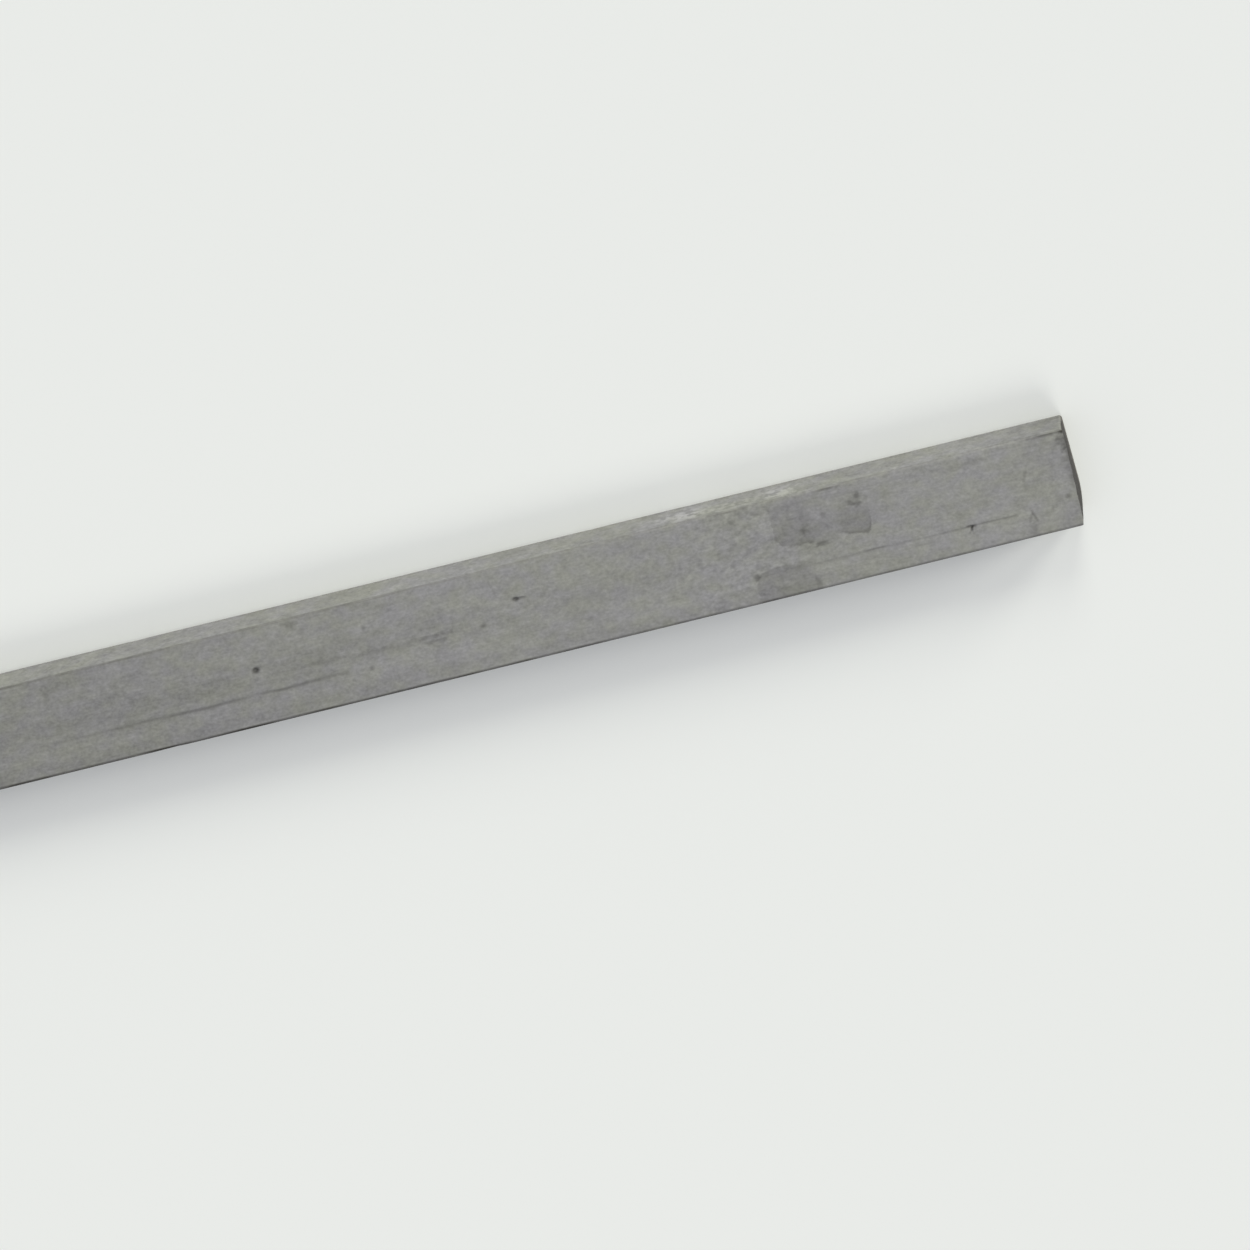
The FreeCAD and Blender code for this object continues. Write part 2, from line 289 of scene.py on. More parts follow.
def sheared_face(shape, y, z, depth, rounding):
    """x of the sheared end over the section, at each point the lower x of two leaning surfaces.

    The blade's cut lies cut_set_back + lean * z / thickness behind the tip, and a quarter circle of the
    radius rounding takes off its outline; depth is how far a point lies inside the outline. The broken
    face, above break_height, is straight, leans back further and is grainy.
    """
    inward = np.clip(rounding - depth, 0, None)
    corner = rounding - np.sqrt(np.clip(rounding**2 - inward**2, 0, None))
    blade = cut_set_back(shape, y) + shape.shear_lean * z / shape.thickness + corner
    start = shape.shear_lean * shape.break_height / shape.thickness
    rise = np.clip(z - shape.break_height, 0, None) / (shape.thickness - shape.break_height)
    broken = np.where(z > shape.break_height, start + (shape.break_set_back - start) * rise, 0.0)
    grain = 0.5 + 0.6 * rough_field(y, z, 2.2 * MM, 5)
    drag = 0.5 + 0.5 * rough_field(y, z * 0.15, 1.6 * MM, 7)
    torn = smooth_step((z - shape.break_height + 0.8 * MM * rough_field(y, z, 4 * MM, 8)) / (0.7 * MM))
    pitted = torn * 0.13 * MM * np.clip(grain, 0, None) + (1 - torn) * 0.03 * MM * drag
    return shape.tip - np.maximum(blade, broken) - pitted


def worn_depth(shape, x, y, z):
    """How far the drawn surface lies inside the plain section. It is the sum of a slow waviness, the
    grooves of the die, exp(-d^2) of the distance d in half widths, the pits, exp(-d^2.6), and small dents
    along the four edges."""
    depth = 0.010 * MM * (1 + rough_field(x * 0.25, y + z, 9 * MM, 1, 24))
    upper = smooth_step((z - shape.thickness + 0.4 * MM) / (0.3 * MM))
    for across, start, end, width, fade, dark in DIE_LINES.values():
        ends = smooth_step((x / MM - start) / fade) * smooth_step((end - x / MM) / fade)
        line = across * MM + sum(high * np.sin(x / long) for high, long in WANDER)
        depth = depth + upper * ends * dark * 0.14 * MM * np.exp(-(((y - line) / (width * MM)) ** 2))
    for along, across, length, width, *_, dark in PITS.values():
        away = ((x / MM - along) / length) ** 2 + ((y / MM - across) / width) ** 2
        depth = depth + upper * dark * 0.30 * MM * np.exp(-(away**1.3))
    draw = np.random.default_rng(11)
    half, top = shape.width / 2, shape.thickness
    for _ in range(EDGE_DENTS):
        along = draw.uniform(shape.tip - shape.length, shape.tip)
        edge_y, edge_z = draw.choice([-half, half]), draw.choice([0.0, top])
        length, deep = draw.uniform(1.2, 3.2) * MM, draw.uniform(0.05, 0.17) * MM
        away = ((y - edge_y) ** 2 + (z - edge_z) ** 2) / (1.1 * MM) ** 2
        depth = depth + deep * np.exp(-(((x - along) / length) ** 2) - away)
    return np.maximum(depth, 0.0)


def bar_surface(shape):
    """The whole skin of the bar as one grid, closed round the section: rings of the sawn end from its
    middle out, the walls from one end to the other, and rings of the sheared end to its middle.

    The outer rings of an end are the section moved inward, almost by the edge radius, and the others shrink
    to a point. Returns points, by ring, place round the section and xyz, and how much each point is on a
    cut face.
    """
    y, z, ny, nz = section_loop(shape)
    half_z = shape.thickness / 2
    steps = np.array([0.0, 0.04, 0.12, 0.24, 0.36, 0.50, 0.64, 0.78, 0.92]) * shape.edge_radius

    def rings(count):
        """y, z and depth inside the outline of rings that move inward and then shrink to the middle."""
        shrink = np.linspace(1, 0, count + 1)[1:, None]
        core_y, core_z = y - ny * steps[-1], z - nz * steps[-1]
        ring_y = np.concatenate([y - ny * steps[:, None], core_y * shrink])
        ring_z = np.concatenate([z - nz * steps[:, None], half_z + (core_z - half_z) * shrink])
        core_d = steps[-1] + (half_z - steps[-1]) * (1 - shrink[:, 0])
        return ring_y, ring_z, np.concatenate([steps, core_d])[:, None] + 0 * y

    sawn_y, sawn_z, sawn_d = rings(SAWN_RINGS)
    ring_y, ring_z, ring_d = rings(SHEARED_RINGS)
    open_top = smooth_step((z - shape.thickness + shape.edge_radius) / shape.edge_radius)
    rounding = shape.edge_radius * (1 - open_top) + 0.04 * MM
    sheared_x = sheared_face(shape, ring_y, ring_z, ring_d, rounding)
    start = shape.tip - shape.length
    sawn_x = start + np.clip(shape.saw_chamfer - sawn_d, 0, None)

    marks = [(along * MM, 1.6 * max(length, 0.8) * MM, 24.0) for along, _, length, *_ in PITS.values()]
    reach = [(0.40, 0.13, 3.4), (shape.tip, 9 * MM, 16.0), (start, 2 * MM, 8.0)]
    wall = crowded(start + shape.saw_chamfer, shape.tip, WALL_RINGS, marks + reach)[:, None]
    back = shape.tip - sheared_x[0]
    wall_x = wall - back * smooth_step((wall - shape.tip + 26 * MM) / (26 * MM)) * (wall > 0)
    wall_y, wall_z = y + 0 * wall, z + 0 * wall

    x = np.concatenate([sawn_x[:0:-1], wall_x, sheared_x[1:]])
    all_y = np.concatenate([sawn_y[:0:-1], wall_y, ring_y[1:]])
    all_z = np.concatenate([sawn_z[:0:-1], wall_z, ring_z[1:]])
    depth = worn_depth(shape, wall_x, wall_y, wall_z)
    sawn_depth = depth[0] * np.exp(-((sawn_d / MM) ** 2) * 4)
    sheared_depth = depth[-1] * np.exp(-((ring_d / MM) ** 2) * 4)
    depth = np.concatenate([sawn_depth[:0:-1], depth, sheared_depth[1:]])
    sawn_cut = np.where(sawn_d > 0.02 * MM, 1.0, 0.0)
    sheared_cut = smooth_step(2.4 * ring_d / (rounding + 0.02 * MM))
    on_cut = np.concatenate([sawn_cut[:0:-1], 0 * wall_x, sheared_cut[1:]])
    points = np.stack([x, all_y - ny * depth, all_z - nz * depth], -1)
    return points, on_cut


def grid_faces(rows, columns):
    """Quads of a grid whose columns close round, each between two points of a row and two of the next."""
    index = np.arange(rows * columns).reshape(rows, columns)
    beside = np.roll(index, -1, 1)
    return np.stack([index[:-1], beside[:-1], beside[1:], index[1:]], -1).reshape(-1, 4)


def closed_mesh(name, points, on_cut):
    """A smooth closed mesh of a grid whose first and last rows are single points. Each of those rows
    becomes one vertex with triangles round it. The cut attribute says how much a point is on a cut face."""
    rows, columns = points.shape[:2]
    body = points[1:-1].reshape(-1, 3)
    tips = points[[0, -1]].mean(1)
    quads = grid_faces(rows - 2, columns)
    first = np.arange(columns)
    after = np.roll(first, -1)
    low_tip, high_tip = len(body), len(body) + 1
    low = np.stack([after, first, np.full(columns, low_tip)], -1)
    high_row = first + (rows - 3) * columns
    high = np.stack([high_row, after + (rows - 3) * columns, np.full(columns, high_tip)], -1)
    mesh = bpy.data.meshes.new(name)
    vertices = np.concatenate([body, tips])
    corners = np.concatenate([quads.ravel(), low.ravel(), high.ravel()])
    sizes = np.concatenate([np.full(len(quads), 4), np.full(len(low) + len(high), 3)])
    mesh.vertices.add(len(vertices))
    mesh.vertices.foreach_set("co", vertices.astype(np.float32).ravel())
    mesh.loops.add(len(corners))
    mesh.loops.foreach_set("vertex_index", corners.astype(np.int32))
    mesh.polygons.add(len(sizes))
    mesh.polygons.foreach_set("loop_start", np.concatenate([[0], np.cumsum(sizes)[:-1]]).astype(np.int32))
    mesh.polygons.foreach_set("use_smooth", np.ones(len(sizes), bool))
    mesh.update(calc_edges=True)
    mesh.set_sharp_from_angle(angle=math.radians(38))
    values = np.concatenate([on_cut[1:-1].ravel(), [1.0, 1.0]])
    mesh.attributes.new("cut", "FLOAT", "POINT").data.foreach_set("value", values.astype(np.float32))
    mesh.validate()
    return mesh


def feed(tree, socket, value):
    """Links value to an input if it is a socket, and otherwise sets the input to it."""
    if isinstance(value, bpy.types.NodeSocket):
        tree.links.new(value, socket)
    else:
        socket.default_value = value


def add_node(tree, kind, inputs=None, **settings):
    """A new node of that kind. inputs has a socket to link or a plain value for inputs, by name or number."""
    made = tree.nodes.new(kind)
    for name, value in settings.items():
        setattr(made, name, value)
    for key, value in (inputs or {}).items():
        feed(tree, made.inputs[key], value)
    return made


def maths(tree, operation, *values, clamp=False):
    """The output of a Math node of that operation on sockets or numbers."""
    inputs = dict(enumerate(values))
    return add_node(tree, "ShaderNodeMath", inputs, operation=operation, use_clamp=clamp).outputs[0]


def times(tree, value, factor):
    """value times factor."""
    return maths(tree, "MULTIPLY", value, factor)


def minus(tree, value, less):
    """value minus less."""
    return maths(tree, "SUBTRACT", value, less)


def add(tree, value, amount, total):
    """total plus amount times value."""
    return maths(tree, "MULTIPLY_ADD", value, amount, total)


def ramp(tree, value, start, end, low=0.0, high=1.0):
    """value eased from low at start to high at end."""
    inputs = {"Value": value, "From Min": start, "From Max": end, "To Min": low, "To Max": high}
    return add_node(tree, "ShaderNodeMapRange", inputs, interpolation_type="SMOOTHSTEP").outputs[0]


def blend_colour(tree, amount, first, second):
    """Two colours mixed by amount."""
    node = add_node(tree, "ShaderNodeMix", data_type="RGBA")
    for number, value in ((0, amount), (6, first), (7, second)):
        feed(tree, node.inputs[number], value)
    return node.outputs[2]


def new_group(name, inputs, outputs):
    """An empty shader node group with those inputs (name, kind, default) and outputs (name, kind)."""
    tree = bpy.data.node_groups.new(name, "ShaderNodeTree")
    for label, kind, default in inputs:
        socket = tree.interface.new_socket(label, in_out="INPUT", socket_type=kind)
        if default is not None:
            socket.default_value = default
    for label, kind in outputs:
        tree.interface.new_socket(label, in_out="OUTPUT", socket_type=kind)
    return tree, add_node(tree, "NodeGroupInput").outputs, add_node(tree, "NodeGroupOutput").inputs


def use_group(tree, group, inputs):
    """That group placed in a tree, with its inputs linked or set."""
    node = tree.nodes.new("ShaderNodeGroup")
    node.node_tree = group
    for key, value in inputs.items():
        feed(tree, node.inputs[key], value)
    return node.outputs


def tidy_nodes(tree):
    """Lays the nodes out in columns in the order they were made."""
    for number, node in enumerate(tree.nodes):
        node.location = (220 * (number // 8), -230 * (number % 8))


def mottle_group():
    """Soft blotches of a given length and width along the bar: Value is from about -1 to 1."""
    tree, given, result = new_group(
        "Mottle",
        [("Position", "NodeSocketVector", None), ("Length", "NodeSocketFloat", 0.01),
         ("Width", "NodeSocketFloat", 0.01), ("Detail", "NodeSocketFloat", 2.0),
         ("Seed", "NodeSocketFloat", 0.0)],
        [("Value", "NodeSocketFloat")],
    )
    along = maths(tree, "DIVIDE", 1.0, given["Length"])
    across = maths(tree, "DIVIDE", 1.0, given["Width"])
    scale = add_node(tree, "ShaderNodeCombineXYZ", {0: along, 1: across, 2: across}).outputs[0]
    place = add_node(
        tree, "ShaderNodeVectorMath", {0: given["Position"], 1: scale, 2: given["Seed"]},
        operation="MULTIPLY_ADD",
    ).outputs[0]
    noise = add_node(
        tree, "ShaderNodeTexNoise",
        {"Vector": place, "Scale": 1.0, "Detail": given["Detail"], "Roughness": 0.55},
    )
    centred = minus(tree, noise.outputs[0], 0.5)
    tree.links.new(times(tree, centred, 4.0), result["Value"])
    tidy_nodes(tree)
    return tree


def turned_place(tree, position, middle, turn):
    """x and y of a position about a middle, turned by an angle about Z."""
    turned = add_node(
        tree, "ShaderNodeVectorRotate", {"Vector": position, "Center": middle, "Angle": turn},
        rotation_type="Z_AXIS", invert=True,
    )
    moved = add_node(
        tree, "ShaderNodeVectorMath", {0: turned.outputs[0], 1: middle}, operation="SUBTRACT",
    )
    return add_node(tree, "ShaderNodeSeparateXYZ", {0: moved.outputs[0]}).outputs


def mark_group():
    """One oval mark: 1 inside and 0 outside, with a soft and ragged edge."""
    tree, given, result = new_group(
        "Oval Mark",
        [("Position", "NodeSocketVector", None), ("Ragged Field", "NodeSocketFloat", 0.0),
         ("Middle", "NodeSocketVector", None), ("Half Length", "NodeSocketFloat", 0.001),
         ("Half Width", "NodeSocketFloat", 0.001), ("Turn", "NodeSocketFloat", 0.0),
         ("Softness", "NodeSocketFloat", 0.5), ("Ragged", "NodeSocketFloat", 0.3)],
        [("Mask", "NodeSocketFloat")],
    )
    place = turned_place(tree, given["Position"], given["Middle"], given["Turn"])
    u = maths(tree, "DIVIDE", place[0], given["Half Length"])
    v = maths(tree, "DIVIDE", place[1], given["Half Width"])
    away = maths(tree, "SQRT", add(tree, u, u, times(tree, v, v)))
    away = add(tree, given["Ragged Field"], given["Ragged"], away)
    inner = minus(tree, 1.1, given["Softness"])
    outer = add(tree, given["Softness"], 0.8, 1.1)
    tree.links.new(ramp(tree, away, inner, outer, 1.0, 0.0), result["Mask"])
    tidy_nodes(tree)
    return tree


def patch_group():
    """A patch with one sharp end and one sharp side, which fades towards the other side. Rim is its dark edge
    along the sharp side, darker where the patch fades more."""
    tree, given, result = new_group(
        "Patch",
        [("Position", "NodeSocketVector", None), ("Ragged Field", "NodeSocketFloat", 0.0),
         ("Middle", "NodeSocketVector", None), ("Half Length", "NodeSocketFloat", 0.005),
         ("Half Width", "NodeSocketFloat", 0.005), ("Slope", "NodeSocketFloat", 0.0),
         ("Sharp End", "NodeSocketFloat", 1.0), ("Faded Share", "NodeSocketFloat", 0.3)],
        [("Mask", "NodeSocketFloat"), ("Rim", "NodeSocketFloat")],
    )
    moved = add_node(
        tree, "ShaderNodeVectorMath", {0: given["Position"], 1: given["Middle"]}, operation="SUBTRACT",
    )
    place = add_node(tree, "ShaderNodeSeparateXYZ", {0: moved.outputs[0]}).outputs
    across = minus(tree, place[1], times(tree, place[0], given["Slope"]))
    u = maths(tree, "DIVIDE", place[0], given["Half Length"])
    v = maths(tree, "DIVIDE", across, given["Half Width"])
    outward = times(tree, u, given["Sharp End"])
    u4 = maths(tree, "POWER", maths(tree, "MAXIMUM", outward, 0.0), 4.0)
    v4 = maths(tree, "POWER", maths(tree, "MAXIMUM", times(tree, v, -1.0), 0.0), 4.0)
    away = maths(tree, "POWER", maths(tree, "ADD", u4, v4), 0.25)
    away = add(tree, given["Ragged Field"], 0.04, away)
    blunt = ramp(tree, outward, -1.2, -0.4)
    fades = ramp(tree, v, -0.5, 0.8, 1.0, given["Faded Share"])
    mask = times(tree, ramp(tree, away, 0.95, 1.04, 1.0, 0.0), times(tree, blunt, fades))
    rim = times(tree, ramp(tree, away, 0.86, 0.97), ramp(tree, away, 0.97, 1.05, 1.0, 0.0))
    rim = times(tree, rim, ramp(tree, v, -0.8, -0.3, 1.0, 0.05))
    rim_share = add(tree, given["Faded Share"], -1.7, 1.7)
    rim = times(tree, times(tree, rim, blunt), rim_share)
    tree.links.new(mask, result["Mask"])
    tree.links.new(rim, result["Rim"])
    tidy_nodes(tree)
    return tree


def line_group():
    """A thin line along the bar with ends that fade and a broken strength."""
    tree, given, result = new_group(
        "Die Line",
        [("Position", "NodeSocketVector", None), ("Wander", "NodeSocketFloat", 0.0),
         ("Broken Field", "NodeSocketFloat", 0.0), ("Across", "NodeSocketFloat", 0.0),
         ("Start", "NodeSocketFloat", 0.0), ("End", "NodeSocketFloat", 0.1),
         ("Half Width", "NodeSocketFloat", 0.0002), ("Fade", "NodeSocketFloat", 0.01)],
        [("Mask", "NodeSocketFloat")],
    )
    place = add_node(tree, "ShaderNodeSeparateXYZ", {0: given["Position"]}).outputs
    off = minus(tree, minus(tree, place[1], given["Wander"]), given["Across"])
    off = maths(tree, "DIVIDE", off, given["Half Width"])
    core = maths(tree, "EXPONENT", times(tree, times(tree, off, off), -1.0))
    from_start, to_end = (
        maths(tree, "DIVIDE", minus(tree, larger, smaller), given["Fade"], clamp=True)
        for larger, smaller in ((place[0], given["Start"]), (given["End"], place[0]))
    )
    broken = maths(tree, "MULTIPLY_ADD", given["Broken Field"], 0.7, 0.85, clamp=True)
    ends = times(tree, from_start, to_end)
    mask = times(tree, times(tree, core, broken), ends)
    tree.links.new(mask, result["Mask"])
    tidy_nodes(tree)
    return tree


def between(tree, value, start, full, last, end):
    """1 while value is between full and last, easing from 0 at start and to 0 at end."""
    return times(tree, ramp(tree, value, start, full), ramp(tree, value, last, end, 1.0, 0.0))


def scaled(tree, colour, factor):
    """A colour made brighter or darker by a factor."""
    return add_node(tree, "ShaderNodeVectorMath", {0: colour, 3: factor}, operation="SCALE").outputs[0]


def new_material(name):
    """A material of that name and its empty node tree."""
    material = bpy.data.materials.new(name)
    material.use_nodes = True
    material.node_tree.nodes.clear()
    return material, material.node_tree


def bar_places(tree, shape):
    """Where a point lies on the bar: its position, how far it is inside the narrow sides (edge_y) and the
    wide faces (edge_z), and masks of the upper face, the near side and both narrow sides."""
    position = add_node(tree, "ShaderNodeTexCoord").outputs["Object"]
    x, y, z = add_node(tree, "ShaderNodeSeparateXYZ", {0: position}).outputs
    half, top, r = shape.width / 2, shape.thickness, shape.edge_radius
    edge_y = minus(tree, half, maths(tree, "ABSOLUTE", y))
    edge_z = minus(tree, top / 2, maths(tree, "ABSOLUTE", minus(tree, z, top / 2)))
    on_side = ramp(tree, edge_y, 0.05 * r, 0.6 * r, 1.0, 0.0)
    on_side = times(tree, on_side, ramp(tree, edge_z, 0.2 * r, 0.7 * r))
    return SimpleNamespace(
        position=position, x=x, y=y, z=z, edge_y=edge_y, edge_z=edge_z, on_side=on_side,
        on_upper=ramp(tree, z, top - 0.5 * MM, top - 0.15 * MM),
        on_near=ramp(tree, y, half - 0.5 * MM, half - 0.15 * MM),
    )


def noise_fields(tree, position):
    """The mottle of each row of FIELDS, by name."""
    mottle = mottle_group()
    noise = {}
    for name, (length, width, detail, seed) in FIELDS.items():
        noise[name] = use_group(tree, mottle, {
            "Position": position, "Length": length * MM, "Width": width * MM, "Detail": detail, "Seed": seed,
        })["Value"]
    return noise


def rubbed_light(tree, at, noise):
    """How much lighter the near side is in its rubbed places."""
    rub = 0.0
    for along, height, length, tall, light in RUBBED.values():
        off_x = maths(tree, "ABSOLUTE", minus(tree, at.x, along * MM))
        off_z = maths(tree, "ABSOLUTE", minus(tree, at.z, height * MM))
        mask = ramp(tree, off_x, 0.2 * length * MM, 1.3 * length * MM, light, 0.0)
        rub = add(tree, mask, ramp(tree, off_z, 0.3 * tall * MM, 1.3 * tall * MM, 1.0, 0.0), rub)
    patchy = add(tree, noise["short drawn"], 0.8, 0.5)
    patchy = maths(tree, "MULTIPLY_ADD", noise["speck"], 1.6, patchy, clamp=True)
    return times(tree, times(tree, rub, at.on_near), patchy)


def tin_brightness(tree, look, at, noise):
    """How bright the tin is: it changes slowly along the bar, where the wide faces are painted lighter
    towards the sheared end as painted light, and it is mottled, banded and rubbed.
    """
    # Painted light: the wide faces grow lighter towards the sheared end.
    wide_tone = ramp(tree, at.x, *TONE_CHANGE, look.left_tone, look.painted_light_end_tone)
    side_tone = ramp(tree, at.x, *SIDE_TONE_CHANGE, 0.96 * look.side_tone, look.side_tone)
    side_tone = times(tree, side_tone, ramp(tree, at.x, *SIDE_END_CHANGE, 1.0, 0.90))
    bright = add_node(tree, "ShaderNodeMix", {0: at.on_side, 2: wide_tone, 3: side_tone}).outputs[0]
    for name, amount in BRIGHTNESS.items():
        bright = add(tree, noise[name], amount * look.mottle, bright)
    speckled = times(tree, between(tree, at.x, *SPECKLED_PART), at.on_upper)
    bright = add(tree, times(tree, speckled, noise["speck"]), 0.06, bright)
    far_band = times(tree, between(tree, at.y, *FAR_BAND), -0.080)
    bands = add(tree, between(tree, at.y, *MIDDLE_BAND), -0.050, far_band)
    bright = add(tree, bands, ramp(tree, at.x, *BAND_CHANGE, 1.0, 0.4), bright)
    return maths(tree, "ADD", bright, rubbed_light(tree, at, noise))


def upper_marks(tree, look, at, noise):
    """Stain of the scattered specks and of the marks on the upper face, and the grooves of its die lines."""
    mark, patch, line = mark_group(), patch_group(), line_group()
    stain = times(tree, ramp(tree, noise["speck"], 1.0, 1.5), look.specks)
    for along, across, length, width, slope, sharp, faded_share, dark in PATCHES.values():
        found = use_group(tree, patch, {
            "Position": at.position, "Ragged Field": noise["speck"], "Middle": (along * MM, across * MM, 0.0),
            "Half Length": length * MM, "Half Width": width * MM, "Slope": slope, "Sharp End": sharp,
            "Faded Share": faded_share,
        })
        mask = maths(tree, "ADD", found["Rim"], found["Mask"])
        stain = add(tree, times(tree, mask, at.on_upper), dark, stain)
    for marks in (SMUDGES, STREAKS, PITS):
        for along, across, length, width, turn, soft, ragged, dark in marks.values():
            mask = use_group(tree, mark, {
                "Position": at.position, "Ragged Field": noise["speck"],
                "Middle": (along * MM, across * MM, 0.0), "Half Length": length * MM,
                "Half Width": width * MM, "Turn": math.radians(turn), "Softness": soft,
                "Ragged": ragged * 0.5,
            })["Mask"]
            stain = add(tree, times(tree, mask, at.on_upper), dark, stain)
    wander = 0.0
    for high, long in WANDER:
        wander = add(tree, maths(tree, "SINE", maths(tree, "DIVIDE", at.x, long)), high, wander)
    groove = 0.0
    for across, start, end, width, fade, dark in DIE_LINES.values():
        mask = use_group(tree, line, {
            "Position": at.position, "Wander": wander, "Broken Field": noise["blotch"],
            "Across": across * MM, "Start": start * MM, "End": end * MM, "Half Width": width * MM,
            "Fade": fade * MM,
        })["Mask"]
        mask = times(tree, mask, at.on_upper)
        stain = add(tree, mask, dark, stain)
        groove = maths(tree, "MAXIMUM", groove, mask)
    return stain, groove


def edge_shade_and_dirt(tree, look, at, noise, r, stain):
    """stain with the dark lines along the long edges, of edge radius r, which are partly painted shade and
    partly dirt, and the painted shade by the sheared end added.
    """
    # Dark lines on the rounded long edges, partly painted shade and partly dirt.
    round_edge = minus(tree, at.edge_y, at.edge_z)
    near_line = between(tree, round_edge, -1.35 * r, -0.5 * r, 0.0, 1.1 * r)
    near_shade_and_dirt = ramp(tree, at.x, *EDGE_SHADE_AND_DIRT_CHANGE, look.near_edge_shade_and_dirt, 0.45 * look.near_edge_shade_and_dirt)
    near_line = times(tree, near_line, near_shade_and_dirt)
    far_line = ramp(tree, at.edge_y, 0.8 * r, 1.6 * r, 1.0, 0.0)
    far_line = times(tree, far_line, ramp(tree, at.edge_z, 0.45 * r, 0.8 * r, 1.0, 0.0))
    far_shade_and_dirt = ramp(tree, at.x, *EDGE_SHADE_AND_DIRT_CHANGE, look.far_edge_shade_and_dirt, 0.5 * look.far_edge_shade_and_dirt)
    far_line = times(tree, far_line, far_shade_and_dirt)
    is_far = maths(tree, "LESS_THAN", at.y, 0.0)
    lines = add_node(tree, "ShaderNodeMix", {0: is_far, 2: near_line, 3: far_line}).outputs[0]
    # Painted shade on the tin just before the sheared end, mottled.
    painted_end_shade = ramp(tree, at.x, *SHADED_END, 0.0, 0.11)
    stain = add(tree, painted_end_shade, add(tree, noise["blotch"], 0.6, 1.0), stain)
    # A mottle that breaks up the painted edge shade.
    edge_shade_mottle = add(tree, noise["short drawn"], 0.35, add(tree, noise["blotch"], 0.35, 1.0))
    return add(tree, lines, edge_shade_mottle, stain)


def cut_faces(tree, look, at, noise, break_height):
    """The copper of the cut faces, how much a point is on one or on broken metal, and the saw marks."""
    cut = add_node(tree, "ShaderNodeAttribute", attribute_name="cut").outputs["Fac"]
    ragged_z = add(tree, noise["blotch"], 0.5 * MM, at.z)
    torn = ramp(tree, ragged_z, break_height - 0.4 * MM, break_height + 0.5 * MM)
    sheared = blend_colour(tree, torn, look.sheared_copper, look.torn_copper)
    is_sheared = maths(tree, "GREATER_THAN", at.x, 0.0)
    copper = blend_colour(tree, is_sheared, look.sawn_copper, sheared)
    across_saw = add_node(
        tree, "ShaderNodeVectorMath", {0: at.position, 1: (0.0, 1500.0, 45.0)}, operation="MULTIPLY",
    ).outputs[0]
    saw = add_node(tree, "ShaderNodeTexNoise", {"Vector": across_saw, "Scale": 1.0, "Detail": 2.0})
    saw = add(tree, saw.outputs["Fac"], 2.0, -1.0)
    on_sawn = times(tree, cut, minus(tree, 1.0, is_sheared))
    saw = times(tree, saw, on_sawn)
    bright = add(tree, noise["speck"], 0.10, add(tree, noise["blotch"], 0.10, 1.0))
    return scaled(tree, copper, add(tree, saw, 0.55, bright)), cut, torn, saw


def tinned_copper(look, shape):
    """Dull grey tin with drawing marks, pits, stains and rubs, painted light towards the sheared end, painted
    shade with dirt along the long edges and painted shade by the sheared end, and bare copper on the cut
    ends.
    """
    material, tree = new_material("Dull Tinned Copper")
    at = bar_places(tree, shape)
    noise = noise_fields(tree, at.position)
    bright = tin_brightness(tree, look, at, noise)
    stain, groove = upper_marks(tree, look, at, noise)
    # Adds the painted shade and dirt along the edges and the painted shade by the sheared end.
    stain = edge_shade_and_dirt(tree, look, at, noise, shape.edge_radius, stain)
    stain = maths(tree, "MINIMUM", maths(tree, "MAXIMUM", stain, 0.0), 0.94)
    tint = add(tree, noise["broad tint"], 0.6, noise["small tint"])
    tin = blend_colour(tree, ramp(tree, tint, -1.3, 1.3), look.tin_cool, look.tin_warm)
    tin = blend_colour(tree, stain, scaled(tree, tin, bright), look.stain)
    copper, cut, torn, saw = cut_faces(tree, look, at, noise, shape.break_height)

    rough = add(tree, noise["speck"], 0.03, add(tree, noise["blotch"], 0.035, look.roughness))
    rough = add(tree, stain, 0.30, rough)
    rough = add(tree, times(tree, cut, torn), 0.18, rough)
    metal = add(tree, cut, 0.15, add(tree, stain, -0.4, look.metallic))

    height = 0.0
    for name, amount in RELIEF.items():
        height = add(tree, noise[name], amount, height)
    height = add(tree, saw, 1.6, add(tree, groove, -0.5, height))
    height = add(tree, times(tree, cut, noise["fine"]), 0.8, height)
    bump = add_node(tree, "ShaderNodeBump", {"Strength": 0.6, "Distance": 0.03 * MM, "Height": height})

    shader = add_node(tree, "ShaderNodeBsdfPrincipled", {
        "Base Color": blend_colour(tree, cut, tin, copper), "Metallic": maths(tree, "MAXIMUM", metal, 0.0),
        "Roughness": maths(tree, "MINIMUM", rough, 1.0), "Normal": bump.outputs[0], "IOR": 1.5,
    })
    add_node(tree, "ShaderNodeOutputMaterial", {"Surface": shader.outputs[0]})
    tidy_nodes(tree)
    return material


def floor_material(look):
    """Pale matt paper."""
    material, tree = new_material("Pale Floor")
    shader = add_node(tree, "ShaderNodeBsdfDiffuse", {"Color": look.floor})
    add_node(tree, "ShaderNodeOutputMaterial", {"Surface": shader.outputs[0]})
    tidy_nodes(tree)
    return material


def length_property(name, description, default):
    """A length in metres that the panel shows with its unit."""
    return bpy.props.FloatProperty(
        name=name, description=description, default=default, min=0.0, precision=5, unit="LENGTH",
    )


def colour_property(name, description, default):
    """A colour with its alpha."""
    return bpy.props.FloatVectorProperty(
        name=name, description=description, default=(*default, 1.0), size=4, min=0.0, max=1.0,
        subtype="COLOR",
    )


def amount_property(name, description, default):
    """A plain factor, where 1 is the whole amount."""
    return bpy.props.FloatProperty(name=name, description=description, default=default, min=0.0, max=2.0)


